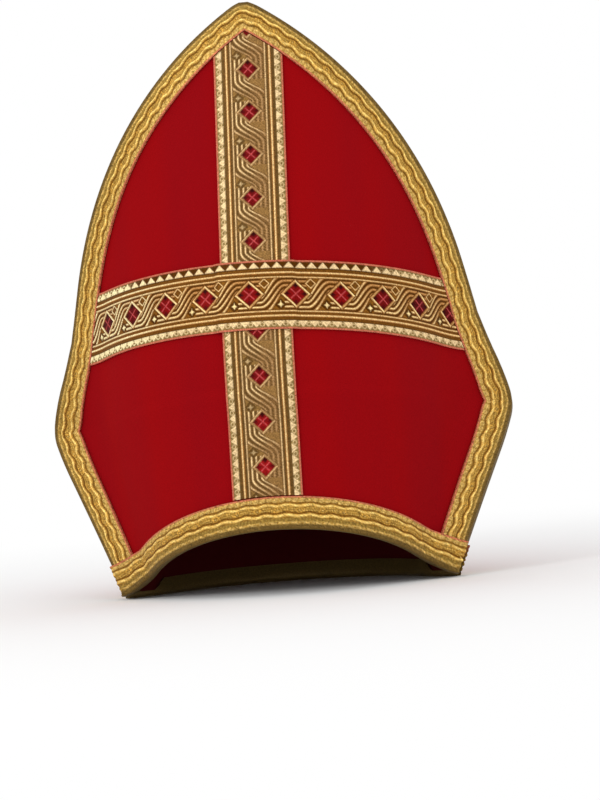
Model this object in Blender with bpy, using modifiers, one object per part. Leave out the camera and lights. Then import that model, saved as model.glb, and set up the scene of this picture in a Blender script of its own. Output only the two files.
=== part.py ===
# Bishop mitre: two stiffened velvet panels, a soft crown gusset, gold edge and rim braid,
# and a cross of patterned galloon on the front panel.
# Metres, +Z up. The front panel faces -Y. The mitre rests on its bottom corners and back rim.

import math
from functools import lru_cache

import bpy
import bmesh
import numpy as np
from mathutils import Matrix

# Panel cut, measured on the flat cloth from the centre line and from the level of the corners
PANEL_HEIGHT = 0.4105
RIM_HALF_ARC = 0.147
SHOULDER_HEIGHT = 0.1245
SHOULDER_HALF_ARC = 0.2105
SPRING_HEIGHT = 0.1865
SPRING_HALF_ARC = 0.179
UPPER_EDGE_BULGE = 0.0238
TIP_HALF_WIDTH = 0.003
SHOULDER_ROUNDING = 0.008
FRONT_RIM_ARCH = 0.0272
PANEL_WALL = 0.0025

# Bend of the panels round the head
BEND_RADIUS = 0.1463
LEVEL_BLEND = 0.030
CENTRE_SETTLE = 0.060
REST_LEAN = math.radians(13.0)

# Each row is one level of the panel. height is a share of PANEL_HEIGHT, radius a share of
# BEND_RADIUS, flare the share of the half arc that turns back out to the side, and edge_angle
# the turn that is left at the side edge, in degrees.
LEVELS = [
    {"height": 0.00, "radius": 0.79, "flare": 0.24, "edge_angle": 27.5},
    {"height": 0.30, "radius": 1.00, "flare": 0.30, "edge_angle": 9.5},
    {"height": 0.465, "radius": 1.00, "flare": 0.23, "edge_angle": 29.5},
    {"height": 1.00, "radius": 1.275, "flare": 0.10, "edge_angle": 4.0},
]

# Braid folded over the panel edges and over the rim
BRAID_WIDTH = 0.021
BRAID_THICKNESS = 0.0016
BRAID_TURN_IN = 0.006
RIM_TURN_IN = 0.009
RIM_TURN_STOP = 0.016
BRAID_RAMP = 0.010
RAMP_OVERLAP = 0.3

# Galloon cross
GALLOON_WIDTH = 0.050
GALLOON_THICKNESS = 0.0012
CROSS_HEIGHT = 0.1887
CROSS_TILT = -0.028
UPRIGHT_SHIFT = -0.0012
UPRIGHT_TILT = 0.014
GALLOON_RAMP = 0.006

# Crown gusset between the two peaks
GUSSET_WALL = 0.0012
GUSSET_INSET = 0.012
GUSSET_START = 0.022
VALLEY_HEIGHT = 0.240
VALLEY_CLIMB = 1.4
VALLEY_SHARPNESS = 1.5

# Clearances between neighbouring pieces
FACE_GAP = 0.0007
FOLD_GAP = 0.0012
END_GAP = 0.0008
SEAM_ROOM = 0.0009
FLOOR_TRIM = 0.0004

# Mesh density and sampling
BLEND_SAMPLES = 9
NORMAL_STEP = 0.002
LIMIT_ROUNDS = 3
SPRING_POINTS = 4
ARC_POINTS = 40
EDGE_PROBE = 0.1
END_PROBE = 0.97
ACROSS_SHARES = [1.0, 0.66, 0.33, 0.0]
RIM_CROWDING = 1.25
ROUND_OFF = 0.000001
MERGE_DISTANCE = 0.00002
SHARP_ANGLE = math.radians(50.0)
SECTION_STEPS = 60
FLOOR_ROUNDS = 8
PANEL_SHARES = [0.0, 0.13, 0.26, 0.39, 0.52, 0.62, 0.70, 0.76, 0.82, 0.87, 0.91, 0.955, 1.0]
LOWER_ROWS = 5
UPPER_ROWS = 15
LOWER_STATIONS = 7
UPPER_STATIONS = 20
GUSSET_STATIONS = 13
RIM_STATIONS = 30
GUSSET_COLUMNS = 10
UPRIGHT_ROWS = 20
UPRIGHT_COLUMNS = 4
CROSS_COLUMNS = 3

SEAM_HALF = PANEL_WALL + FACE_GAP + BRAID_THICKNESS + SEAM_ROOM


def clear_scene():
    for thing in list(bpy.data.objects):
        bpy.data.objects.remove(thing, do_unlink=True)


def smoothstep(value):
    share = min(max(value, 0.0), 1.0)
    return share * share * (3.0 - 2.0 * share)


# Flat cut of the panel
def upper_arc():
    """Centre and radius of the circle through the spring point and the tip."""
    low = np.array([SPRING_HALF_ARC, SPRING_HEIGHT])
    high = np.array([TIP_HALF_WIDTH, PANEL_HEIGHT])
    chord = high - low
    length = float(np.hypot(*chord))
    radius = (length * length / 4.0 + UPPER_EDGE_BULGE ** 2) / (2.0 * UPPER_EDGE_BULGE)
    inward = np.array([-chord[1], chord[0]]) / length
    centre = (low + high) / 2.0 + inward * (radius - UPPER_EDGE_BULGE)
    return centre, radius


def sharp_half_arc(height):
    if height <= SHOULDER_HEIGHT:
        share = height / SHOULDER_HEIGHT
        return RIM_HALF_ARC + (SHOULDER_HALF_ARC - RIM_HALF_ARC) * share
    if height <= SPRING_HEIGHT:
        share = (height - SHOULDER_HEIGHT) / (SPRING_HEIGHT - SHOULDER_HEIGHT)
        return SHOULDER_HALF_ARC + (SPRING_HALF_ARC - SHOULDER_HALF_ARC) * share
    centre, radius = upper_arc()
    reach = radius * radius - (height - centre[1]) ** 2
    return centre[0] + math.sqrt(max(reach, 0.0))


@lru_cache(maxsize=None)
def half_arc(height):
    """Distance from the centre line to the side edge, with the shoulder rounded."""
    window = min(SHOULDER_ROUNDING, height, PANEL_HEIGHT - height)
    offsets = np.linspace(-1, 1, BLEND_SAMPLES)
    samples = [sharp_half_arc(height + window * offset) for offset in offsets]
    return float(np.mean(samples))


# Bent shape of the panel
def level_value(column, height):
    """A column of LEVELS at a height, blended over its neighbourhood."""
    heights = [row["height"] * PANEL_HEIGHT for row in LEVELS]
    values = [row[column] for row in LEVELS]
    window = min(LEVEL_BLEND, max(height, 0.0), max(PANEL_HEIGHT - height, 0.0))
    places = height + window * np.linspace(-1, 1, BLEND_SAMPLES)
    return float(np.mean(np.interp(places, heights, values)))


@lru_cache(maxsize=None)
def section(height):
    """Sideways reach and depth of the cloth at one level, at even steps of its half arc."""
    arc = half_arc(height)
    radius = level_value("radius", height) * BEND_RADIUS
    knee = 1.0 - level_value("flare", height)
    edge_angle = math.radians(level_value("edge_angle", height))
    share = np.linspace(0.0, 1.0, SECTION_STEPS + 1)
    back_turn = np.clip((share - knee) / (1.0 - knee), 0.0, 1.0)
    back_turn = back_turn * back_turn * (3.0 - 2.0 * back_turn)
    knee_angle = arc * knee / radius
    angle = np.where(share < knee, arc * share / radius,
                     knee_angle + (edge_angle - knee_angle) * back_turn)
    step = arc / SECTION_STEPS
    across = np.cos(angle)
    deep = np.sin(angle)
    reach = np.concatenate([[0.0], np.cumsum((across[1:] + across[:-1]) / 2 * step)])
    depth = np.concatenate([[0.0], np.cumsum((deep[1:] + deep[:-1]) / 2 * step)])
    return arc, reach, depth


@lru_cache(maxsize=None)
def centre_depth(height):
    """How far the panel's centre line stands in front of the seam plane."""
    if height <= SHOULDER_HEIGHT:
        return float(section(height)[2][-1]) + SEAM_HALF
    at_shoulder = float(section(SHOULDER_HEIGHT)[2][-1])
    below = float(section(SHOULDER_HEIGHT - LEVEL_BLEND)[2][-1])
    slope = (at_shoulder - below) / LEVEL_BLEND
    share = min((height - SHOULDER_HEIGHT) / CENTRE_SETTLE, 1.0)
    return at_shoulder + SEAM_HALF + slope * CENTRE_SETTLE * (share - share * share / 2.0)


def surface(side, height):
    """Point of the panel's outer face at a flat place, side being measured from the centre."""
    level = round(min(max(height, 0.0), PANEL_HEIGHT), 6)
    arc, reach, depth = section(level)
    places = np.linspace(0.0, arc, SECTION_STEPS + 1)
    away = min(abs(side), arc)
    across = math.copysign(float(np.interp(away, places, reach)), side)
    deep = float(np.interp(away, places, depth))
    return np.array([across, deep - centre_depth(level), level])


def normal(side, height):
    """Outward direction of the panel's outer face at a flat place."""
    step = NORMAL_STEP
    level = min(max(height, step), PANEL_HEIGHT - step)
    lower = level - step if level > SHOULDER_HEIGHT else level
    limit = min(half_arc(round(lower, 6)), half_arc(round(level + step, 6)))
    place = min(max(side, step - limit), limit - step)
    along = surface(place + step, level) - surface(place - step, level)
    up = surface(place, level + step) - surface(place, level - step)
    out = np.cross(along, up)
    return out / np.linalg.norm(out)


def lifted(side, height, lift):
    return surface(side, height) + normal(side, height) * lift


# Rims and rails
def rim_height(side, face):
    """Height of the panel's bottom edge above the corner level."""
    share = min(abs(side) / RIM_HALF_ARC, 1.0)
    if face == "front":
        return FRONT_RIM_ARCH * (1.0 - share * share)
    height = 0.0
    for _ in range(FLOOR_ROUNDS):
        height = max(floor_height(surface(side, height)[1]), 0.0)
    return height


def floor_height(depth):
    """Height of the resting plane at one depth, in the frame of the upright mitre."""
    return (-depth - SEAM_HALF) * math.tan(REST_LEAN)


def offset_path(points, distance):
    """The path moved sideways, to the left of its direction."""
    path = np.array(points)
    ahead = np.gradient(path, axis=0)
    ahead /= np.hypot(ahead[:, 0], ahead[:, 1])[:, None]
    return path + distance * np.stack([-ahead[:, 1], ahead[:, 0]], axis=1)


def resample(points, count):
    path = np.array(points)
    lengths = np.hypot(*np.diff(path, axis=0).T)
    travelled = np.concatenate([[0.0], np.cumsum(lengths)])
    places = np.linspace(0.0, travelled[-1], count)
    return np.stack([np.interp(places, travelled, path[:, k]) for k in (0, 1)], axis=1)


def crossing(first, second):
    """Where the lines through two pairs of flat points meet."""
    a, b = first
    c, d = second
    matrix = np.array([b - a, c - d]).T
    share = np.linalg.solve(matrix, c - a)[0]
    return a + (b - a) * share


def side_rails(inset):
    """Right edge of the panel and the line inset from it, as lower and upper stretches."""
    corner = np.array([RIM_HALF_ARC, 0.0])
    shoulder = np.array([SHOULDER_HALF_ARC, SHOULDER_HEIGHT])
    heights = np.concatenate([np.linspace(SHOULDER_HEIGHT, SPRING_HEIGHT, SPRING_POINTS)[:-1],
                              SPRING_HEIGHT + (PANEL_HEIGHT - SPRING_HEIGHT)
                              * np.sin(np.linspace(0.0, math.pi / 2.0, ARC_POINTS))])
    upper = np.array([[sharp_half_arc(height), height] for height in heights])
    lower_inner = offset_path([corner, shoulder], inset)
    upper_inner = offset_path(upper, inset)
    knee = crossing(lower_inner, upper_inner[:2])
    kept = [point for point in upper_inner[1:] if point[0] > 0.0]
    after = upper_inner[1 + len(kept)] if 1 + len(kept) < len(upper_inner) else upper_inner[-1]
    share = kept[-1][0] / (kept[-1][0] - after[0])
    peak = kept[-1] + (after - kept[-1]) * share
    foot = crossing(lower_inner, (np.array([0.0, 0.0]), np.array([RIM_HALF_ARC, 0.0])))
    return [corner, shoulder], upper, [foot, knee], [knee] + kept + [peak]


def rounded(point):
    """An edge point drawn in to the rounded outline."""
    limit = half_arc(round(float(point[1]), 6))
    return np.array([min(float(point[0]), limit), float(point[1])])


def braid_rails(face):
    """Outer and inner rails of the edge braid, from the right corner over the tip."""
    lower, upper, lower_inner, upper_inner = side_rails(BRAID_WIDTH)
    outer = [resample(lower, LOWER_STATIONS)[:-1], resample(upper, UPPER_STATIONS)]
    inner = [resample(lower_inner, LOWER_STATIONS)[:-1], resample(upper_inner, UPPER_STATIONS)]
    outer = np.array([rounded(point) for point in np.vstack(outer)])
    inner = np.vstack(inner)
    for rail in (outer, inner):
        for point in rail:
            point[1] = max(point[1], rim_height(point[0], face) + END_GAP)
    mirror = np.array([-1.0, 1.0])
    return np.vstack([outer, outer[::-1] * mirror]), np.vstack([inner, inner[::-1] * mirror])


def inner_edge_side(height):
    """Distance from the centre line to the braid's inner edge at one height."""
    _, _, lower, upper = side_rails(BRAID_WIDTH)
    path = np.array(list(lower) + list(upper[1:]))
    return float(np.interp(height, path[:, 1], path[:, 0]))


def inner_edge_height(side):
    """Height of the braid's inner edge above one place near the tip."""
    upper = np.array(side_rails(BRAID_WIDTH)[3])
    order = upper[::-1]
    return float(np.interp(abs(side), order[:, 0], order[:, 1]))


# Mesh making
def material(name, colour, roughness, metallic=0.0):
    made = bpy.data.materials.new(name)
    made.use_nodes = True
    shader = made.node_tree.nodes["Principled BSDF"]
    shader.inputs["Base Color"].default_value = (*colour, 1.0)
    shader.inputs["Roughness"].default_value = roughness
    shader.inputs["Metallic"].default_value = metallic
    made.diffuse_color = (*colour, 1.0)
    return made


def sheet(name, grid, thickness, finish, keep=None, outward=True, mirrored=False):
    """A solid made from a grid of points as an open surface with thickness."""
    points = np.array(grid, dtype=float)
    if mirrored:
        points = points * np.array([1.0, -1.0, 1.0])
    rows, columns = points.shape[:2]
    work = bmesh.new()
    corners = [[work.verts.new(points[i, j]) for j in range(columns)] for i in range(rows)]
    for i in range(rows - 1):
        for j in range(columns - 1):
            if keep is not None and not keep(i, j):
                continue
            ring = [corners[i][j], corners[i][j + 1], corners[i + 1][j + 1], corners[i + 1][j]]
            if mirrored:
                ring.reverse()
            work.faces.new(ring)
    loose = [vertex for vertex in work.verts if not vertex.link_faces]
    bmesh.ops.delete(work, geom=loose, context="VERTS")
    bmesh.ops.remove_doubles(work, verts=work.verts, dist=MERGE_DISTANCE)
    mesh = bpy.data.meshes.new(name)
    work.to_mesh(mesh)
    work.free()
    mesh.materials.append(finish)
    piece = bpy.data.objects.new(name, mesh)
    solid = piece.modifiers.new("Thickness", "SOLIDIFY")
    solid.thickness = thickness
    solid.offset = 1.0 if outward else -1.0
    solid.use_even_offset = True
    mesh.shade_smooth()
    mesh.set_sharp_from_angle(angle=SHARP_ANGLE)
    return piece


# Pieces
def panel_columns():
    return [-share for share in PANEL_SHARES[:0:-1]] + PANEL_SHARES


def panel_rows():
    lower = np.linspace(0.0, SHOULDER_HEIGHT, LOWER_ROWS + 1)[:-1]
    upper = np.linspace(SHOULDER_HEIGHT, PANEL_HEIGHT, UPPER_ROWS + 1)
    return [float(height) for height in np.concatenate([lower, upper])]


def panel_place(share, row, face):
    """Flat place of a grid point; the lower rows ease from the rim's arch to level."""
    ease = max(1.0 - row / SHOULDER_HEIGHT, 0.0)
    height = row + rim_height(share * RIM_HALF_ARC, face) * ease
    return share * half_arc(round(height, 6)), height


def make_panel(name, face, finish):
    grid = []
    for row in panel_rows():
        places = [panel_place(share, row, face) for share in panel_columns()]
        grid.append([surface(side, height) for side, height in places])
    return sheet(name, grid, PANEL_WALL, finish, outward=False, mirrored=face == "back")


def make_edge_braid(name, face, finish):
    """Braid folded over the panel's side edges and tip, ending above the rim's turn."""
    outer, inner = braid_rails(face)
    back_face = -(PANEL_WALL + FACE_GAP)
    grid = []
    for edge, inside in zip(outer, inner):
        across = []
        for share in ACROSS_SHARES:
            place = edge + (inside - edge) * share
            across.append(lifted(place[0], place[1], FACE_GAP))
        brink = surface(*edge)
        out = brink - surface(*(edge + (inside - edge) * EDGE_PROBE))
        out = out / np.linalg.norm(out) * FACE_GAP
        facing = normal(*edge)
        across[-1] = brink + out + facing * FACE_GAP
        across.append(brink + out + facing * back_face)
        turned = edge + (inside - edge) * (BRAID_TURN_IN / BRAID_WIDTH)
        across.append(lifted(turned[0], turned[1], back_face))
        grid.append(across)
    return sheet(name, grid, BRAID_THICKNESS, finish, mirrored=face == "back")


def rim_lift(side, height):
    """Lift of the rim braid's face, which climbs over the ends of the edge braid."""
    foot = inner_edge_side(height) - RAMP_OVERLAP * BRAID_RAMP
    climb = smoothstep((abs(side) - foot) / BRAID_RAMP + 1.0)
    return FACE_GAP + climb * (BRAID_THICKNESS + FACE_GAP)


def make_rim_braid(name, face, finish):
    """Braid folded over the panel's bottom edge, from corner to corner."""
    reach = 1.0 + (FACE_GAP + BRAID_THICKNESS) / RIM_HALF_ARC
    back_face = -(PANEL_WALL + FOLD_GAP)
    sides = []
    for share in np.linspace(-1.0, 1.0, RIM_STATIONS + 1):
        sides.append(RIM_HALF_ARC * math.copysign(1.0 - (1.0 - abs(share)) ** RIM_CROWDING, share))
    grid = []
    for side in sides:
        edge = rim_height(side, face)
        across = []
        for share in ACROSS_SHARES:
            height = edge + BRAID_WIDTH * share
            at_end = abs(side) > RIM_HALF_ARC - ROUND_OFF
            place = math.copysign(half_arc(round(height, 6)), side) if at_end else side
            point = lifted(place, height, rim_lift(side if not at_end else place, height))
            if at_end:
                point = point + end_reach(place, height, reach)
            across.append(point)
        low = surface(side, edge)
        facing = normal(side, edge)
        down = np.array([0.0, 0.0, -FACE_GAP])
        stretch = end_reach(side, edge, reach) if at_end else np.zeros(3)
        outer_brink = across[-1] + down
        inner_brink = low + facing * back_face + down + stretch
        if face == "back":
            outer_brink[2] = floor_height(outer_brink[1]) - FACE_GAP
            inner_brink[2] = floor_height(inner_brink[1]) - FACE_GAP
        across[-1] = outer_brink
        across.append(inner_brink)
        across.append(lifted(side, edge + RIM_TURN_IN, back_face) + stretch)
        grid.append(across)
    turn_limit = RIM_HALF_ARC - RIM_TURN_STOP

    def keep(i, j):
        inside_leg = j == 4
        return not inside_leg or max(abs(sides[i]), abs(sides[i + 1])) < turn_limit

    return sheet(name, grid, BRAID_THICKNESS, finish, keep=keep, mirrored=face == "back")


def end_reach(side, height, reach):
    """Step past the panel's side edge that covers the edge braid's turn."""
    near = surface(side * END_PROBE, height)
    out = surface(side, height) - near
    return out / np.linalg.norm(out) * (reach - 1.0) * RIM_HALF_ARC


def upright_sides():
    shares = np.linspace(-0.5, 0.5, UPRIGHT_COLUMNS + 1)
    return [UPRIGHT_SHIFT + share * GALLOON_WIDTH for share in shares]


def upright_lean(height):
    """Sideways step of the upright band, which is sewn a little out of true."""
    return UPRIGHT_TILT * (height - CROSS_HEIGHT)


def make_upright_galloon(finish):
    """Band along the centre line, from the rim braid to the point of the edge braid."""
    grid = []
    shares = np.linspace(0.0, 1.0, UPRIGHT_ROWS)
    for share in shares:
        row = []
        for side in upright_sides():
            low = rim_height(side, "front") + BRAID_WIDTH + END_GAP
            peak = side + upright_lean(inner_edge_height(side))
            high = inner_edge_height(peak) - END_GAP
            height = low + (high - low) * share
            row.append(lifted(side + upright_lean(height), height, FACE_GAP))
        grid.append(row)
    return sheet("front_upright_galloon", grid, GALLOON_THICKNESS, finish)


def cross_height(side, across):
    """Flat height of the cross band at one place and share of its width."""
    return CROSS_HEIGHT + across * GALLOON_WIDTH + CROSS_TILT * side


def cross_limit(sign, across):
    """Sideways place where the cross band ends at the edge braid."""
    limit = SPRING_HALF_ARC
    for _ in range(LIMIT_ROUNDS):
        limit = inner_edge_side(cross_height(sign * limit, across))
    return sign * (limit - END_GAP)


def make_cross_galloon(finish):
    """Band from side to side, lying over the upright band."""
    grid = []
    ramps = [GALLOON_WIDTH / 2.0 + END_GAP, GALLOON_WIDTH / 2.0 + GALLOON_RAMP]
    top = cross_height(-SPRING_HALF_ARC, 0.5)
    nearest = (inner_edge_side(top) - BRAID_RAMP) / half_arc(round(top, 6))
    first = (ramps[-1] + BRAID_RAMP) / half_arc(round(cross_height(0.0, -0.5), 6))
    shares = [share for share in panel_columns() if first < abs(share) < nearest]
    for across in np.linspace(-0.5, 0.5, CROSS_COLUMNS + 1):
        arc = half_arc(round(cross_height(0.0, across), 6))
        sides = upright_sides()[1:-1]
        sides += [UPRIGHT_SHIFT + sign * ramp for ramp in ramps for sign in (-1.0, 1.0)]
        sides += [share * arc for share in shares]
        sides += [cross_limit(sign, across) for sign in (-1.0, 1.0)]
        row = []
        for side in sorted(sides):
            away = abs(side - UPRIGHT_SHIFT) - GALLOON_WIDTH / 2.0
            climb = 1.0 - smoothstep((away - END_GAP) / (GALLOON_RAMP - END_GAP))
            lift = FACE_GAP + climb * (GALLOON_THICKNESS + FACE_GAP)
            row.append(lifted(side, cross_height(side, across), lift))
        grid.append(row)
    return sheet("front_cross_galloon", grid, GALLOON_THICKNESS, finish)


def make_gusset(finish):
    """Soft cloth slung between the two panels' upper edges, in a rounded valley."""
    path = np.array(side_rails(GUSSET_INSET)[3])
    path = path[path[:, 1] > SHOULDER_HEIGHT + GUSSET_START]
    right = resample(path, GUSSET_STATIONS)
    left = right[::-1][1:] * np.array([-1.0, 1.0])
    stations = np.vstack([right, left])
    hem_lift = -(PANEL_WALL + FACE_GAP)
    hems = [lifted(side, height, hem_lift) for side, height in stations]
    foot = hems[0][2]
    top = max(hem[2] for hem in hems)
    grid = []
    for hem in hems:
        climb = smoothstep(VALLEY_CLIMB * (hem[2] - foot) / (top - foot))
        bottom = min(foot + (VALLEY_HEIGHT - foot) * climb, hem[2])
        row = []
        for share in np.linspace(-1.0, 1.0, GUSSET_COLUMNS + 1):
            rise = abs(share) ** VALLEY_SHARPNESS
            row.append([hem[0], -hem[1] * share, bottom + (hem[2] - bottom) * rise])
        grid.append(row)
    return sheet("crown_gusset", grid, GUSSET_WALL, finish)


def main():
    clear_scene()
    velvet = material("red_velvet", (0.30, 0.005, 0.008), 0.85)
    soft_cloth = material("red_cloth", (0.25, 0.006, 0.009), 0.8)
    braid = material("gold_braid", (0.62, 0.43, 0.13), 0.42, 0.7)
    galloon = material("gold_galloon", (0.55, 0.40, 0.20), 0.45, 0.6)
    pieces = [
        make_panel("front_panel", "front", velvet),
        make_panel("back_panel", "back", velvet),
        make_gusset(soft_cloth),
        make_edge_braid("front_edge_braid", "front", braid),
        make_edge_braid("back_edge_braid", "back", braid),
        make_rim_braid("front_rim_braid", "front", braid),
        make_rim_braid("back_rim_braid", "back", braid),
        make_upright_galloon(galloon),
        make_cross_galloon(galloon),
    ]
    collection = bpy.data.collections.new("bishop_mitre")
    bpy.context.scene.collection.children.link(collection)
    for piece in pieces:
        collection.objects.link(piece)
    rest(pieces, collection)


def rest(pieces, collection):
    """Lean the mitre back on its corners and back rim, with the floor at zero."""
    stand = bpy.data.objects.new("mitre_stance", None)
    collection.objects.link(stand)
    lean = Matrix.Rotation(-REST_LEAN, 4, "X")
    bpy.context.view_layer.update()
    graph = bpy.context.evaluated_depsgraph_get()
    corners = []
    for piece in pieces:
        shape = piece.evaluated_get(graph).to_mesh()
        corners += [lean @ vertex.co for vertex in shape.vertices]
        piece.evaluated_get(graph).to_mesh_clear()
    lows = [min(corner[axis] for corner in corners) for axis in range(3)]
    highs = [max(corner[axis] for corner in corners) for axis in range(3)]
    stand.rotation_euler = (-REST_LEAN, 0.0, 0.0)
    sole = (SEAM_HALF * math.sin(REST_LEAN) + FACE_GAP * math.cos(REST_LEAN)
            + BRAID_THICKNESS - FLOOR_TRIM)
    stand.location = (-(lows[0] + highs[0]) / 2.0, -(lows[1] + highs[1]) / 2.0, sole)
    for piece in pieces:
        piece.parent = stand
    trim_at_floor([piece for piece in pieces if piece.name.endswith("rim_braid")], highs[0])


def trim_at_floor(braids, reach):
    """The rim braid is pressed flat where it rests."""
    cutters = bpy.data.collections.new("cutters")
    bpy.context.scene.collection.children.link(cutters)
    bpy.ops.mesh.primitive_cube_add(size=1.0, location=(0.0, 0.0, -reach))
    floor = bpy.context.object
    floor.name = "floor_cutter"
    floor.scale = (4.0 * reach, 4.0 * reach, 2.0 * reach)
    for owner in list(floor.users_collection):
        owner.objects.unlink(floor)
    cutters.objects.link(floor)
    floor.hide_render = True
    floor.display_type = "WIRE"
    for braid in braids:
        cut = braid.modifiers.new("Pressed flat", "BOOLEAN")
        cut.operation = "DIFFERENCE"
        cut.object = floor


main()
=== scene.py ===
import math

import bpy
import numpy as np
from mathutils import Matrix, Vector


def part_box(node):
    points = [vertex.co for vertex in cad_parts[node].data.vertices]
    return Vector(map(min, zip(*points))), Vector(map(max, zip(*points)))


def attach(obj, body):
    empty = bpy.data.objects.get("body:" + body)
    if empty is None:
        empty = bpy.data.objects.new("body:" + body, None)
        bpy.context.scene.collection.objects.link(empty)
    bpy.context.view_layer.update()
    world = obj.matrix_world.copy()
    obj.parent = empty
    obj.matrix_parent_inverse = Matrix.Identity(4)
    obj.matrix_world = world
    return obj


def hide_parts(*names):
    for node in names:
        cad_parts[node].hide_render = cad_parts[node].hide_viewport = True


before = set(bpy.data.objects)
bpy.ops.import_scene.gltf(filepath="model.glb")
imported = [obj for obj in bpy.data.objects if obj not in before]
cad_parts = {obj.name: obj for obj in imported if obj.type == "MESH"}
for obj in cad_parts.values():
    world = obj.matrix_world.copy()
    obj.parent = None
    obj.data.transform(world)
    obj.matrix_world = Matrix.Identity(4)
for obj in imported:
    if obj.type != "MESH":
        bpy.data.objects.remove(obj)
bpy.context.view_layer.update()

# Panel cut and bend
PANEL_HEIGHT = 0.4105
RIM_HALF_ARC = 0.147
SHOULDER_HEIGHT = 0.1245
SHOULDER_HALF_ARC = 0.2105
SPRING_HEIGHT = 0.1865
SPRING_HALF_ARC = 0.179
UPPER_EDGE_BULGE = 0.0238
TIP_HALF_WIDTH = 0.003
TIP_DROP = 0.0015
TIP_SPREAD = 0.006
SHOULDER_ROUNDING = 0.008
FRONT_RIM_ARCH = 0.0272
PANEL_WALL = 0.0025
BEND_RADIUS = 0.1463
LEVEL_BLEND = 0.030
CENTRE_SETTLE = 0.060
REST_LEAN = math.radians(13.0)
LEVELS = [
    {"height": 0.00, "radius": 0.79, "flare": 0.24, "edge_angle": 27.5},
    {"height": 0.30, "radius": 1.00, "flare": 0.30, "edge_angle": 9.5},
    {"height": 0.465, "radius": 1.00, "flare": 0.23, "edge_angle": 29.5},
    {"height": 1.00, "radius": 1.275, "flare": 0.10, "edge_angle": 4.0},
]

# Trims and gusset
BRAID_WIDTH = 0.021
EDGE_BRAID_WIDTH = 0.0195
BRAID_THICKNESS = 0.0016
BRAID_TURN_IN = 0.006
RIM_TURN_IN = 0.009
RIM_TURN_STOP = 0.016
RIM_END_ROUND = 0.004
RIM_FAN_START = 0.8
BRAID_RAMP = 0.010
GALLOON_WIDTH = 0.050
GALLOON_THICKNESS = 0.0012
CROSS_HEIGHT = 0.1887
CROSS_TILT = -0.028
UPRIGHT_SHIFT = -0.0012
UPRIGHT_TILT = 0.014
UPRIGHT_EASE = 0.037
UPRIGHT_EASE_TOP = 0.141
GALLOON_RAMP = 0.006
GUSSET_WALL = 0.0012
GUSSET_INSET = 0.012
GUSSET_START = 0.0005
VALLEY_HEIGHT = 0.240
VALLEY_CLIMB = 1.4
VALLEY_SHARPNESS = 1.5
FACE_GAP = 0.0007
FOLD_GAP = 0.0012
END_GAP = 0.0008
SEAM_ROOM = 0.0009
SEAM_TOUCH = 0.0001
SEAM_FADE = 0.014
FLOOR_TRIM = 0.0004
SEAM_HALF = PANEL_WALL + FACE_GAP + BRAID_THICKNESS + SEAM_ROOM

# Sampling
HEIGHT_STEPS = 824
SHARE_STEPS = 240
BLEND_SAMPLES = 9
FLOOR_ROUNDS = 9
CROSS_ROUNDS = 3
NORMAL_STEP = 0.002
UPPER_RAIL_STEPS = 120
SPRING_RAIL_STEPS = 12
FACE_STEPS = 41
FOLD_STEPS = 8
LEG_STEPS = 4
UNDER_SHARES = np.array([0.33, 0.66])
HIDDEN_SHARE = 4
GUSSET_ROWS = 70
GUSSET_COLUMNS = 61
SMOOTH_ANGLE = math.radians(55.0)
TRIM_STEP = 0.00085
PANEL_STEP = 0.0022
WEAVE_STEP = 0.0005
MILLIMETRE = 0.001
GRAIN_SEED = 7
BRAID_GRAIN = 0.24
GALLOON_GRAIN = 0.19

# Galloon pattern along and across, in millimetres
PATTERN_PITCH = 32.5
CROSS_PHASE = -5.5
UPRIGHT_PHASE = 229.0
SCROLL_SWING = 7.8
SCROLL_SWEEP = 17.0
SCROLL_SPACING = 3.3
SCROLL_OVERLAP = 8.0
CORD_RADIUS = 0.85
HATCH_PITCH = 2.1
LEAF_ALONG = 10.8
LEAF_ACROSS = 7.8
TOOTH_PITCH = 8.125

# Lanes of the galloon, in millimetres in from its edge
SELVEDGE_WIDTH = 1.1
TOOTH_FOOT = 1.4
TOOTH_DEPTH = 4.3
TOOTH_LANE = (1.6, 5.7)
VALLEY_WIDTH = 5.9
OUTER_LANE = (6.5, 8.0)
MAIN_CORD_LANE = 9.3
INNER_LANE = (10.4, 11.6)
FINE_CORD_LANE = 12.6
BORDER_WIDTH = 13.6

# Lanes of the braid, in millimetres in from the velvet side
LOOP_LANE = 2.7
FIRST_CORD_LANE = 6.3
ROSETTE_LANE = 9.6
SECOND_CORD_LANE = 13.3
RIB_LANE = (15.0, 17.4)
GRAIN_LANE = (17.4, 19.4)
TURN_LANE = (18.2, 20.0)
BACK_LANE = (20.8, 23.3)
FOLD_REACH = 3.5
UNDERSIDE = 30.0
BRAID_WAVE = 15.6
LOOP_PITCH = 4.6
RIB_PITCH = 2.4
TICK_PITCH = 2.6
EDGE_WAVE_HEIGHT = 0.8
RIM_WAVE_HEIGHT = 0.5

# Where the lanes lie on the edge braid, which is worked a little narrower
EDGE_LANES = {
    "place": (0.0, 1.3, 8.4, 15.6, 21.0),
    "lane": (0.0, SELVEDGE_WIDTH, FIRST_CORD_LANE, SECOND_CORD_LANE, 21.0),
}

# Thread tones of the two galloons, and how strongly each part shows. Where the upright's tones
# and strengths differ from the cross band's, that is painted light, as the upright is lit
# differently: its paler ground, brighter stones and duller cords and figures.
CROSS_STYLE = {
    "ground": "field", "gap": "brown", "band": "bronze", "cord": "salmon_cord",
    "crest": "salmon_crest", "stone": "garnet", "stone_half": 8.0, "facet_start": 2.6,
    "scroll_fade": 1.2, "star": 1.0, "surround": 1.0, "frame": 1.0,
    "valley": 0.65, "tooth_spread": 0.45, "hatched": False,
}
UPRIGHT_STYLE = {
    "ground": "pale_field", "gap": "umber", "band": "umber", "cord": "gold_cord",
    "crest": "gold_crest", "stone": "garnet_lit", "stone_half": 6.9, "facet_start": 1.6,
    "scroll_fade": 1.6, "star": 0.4, "surround": 0.5, "frame": 0.4,
    "valley": 1.0, "tooth_spread": 0.41, "hatched": True,
}


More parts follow.
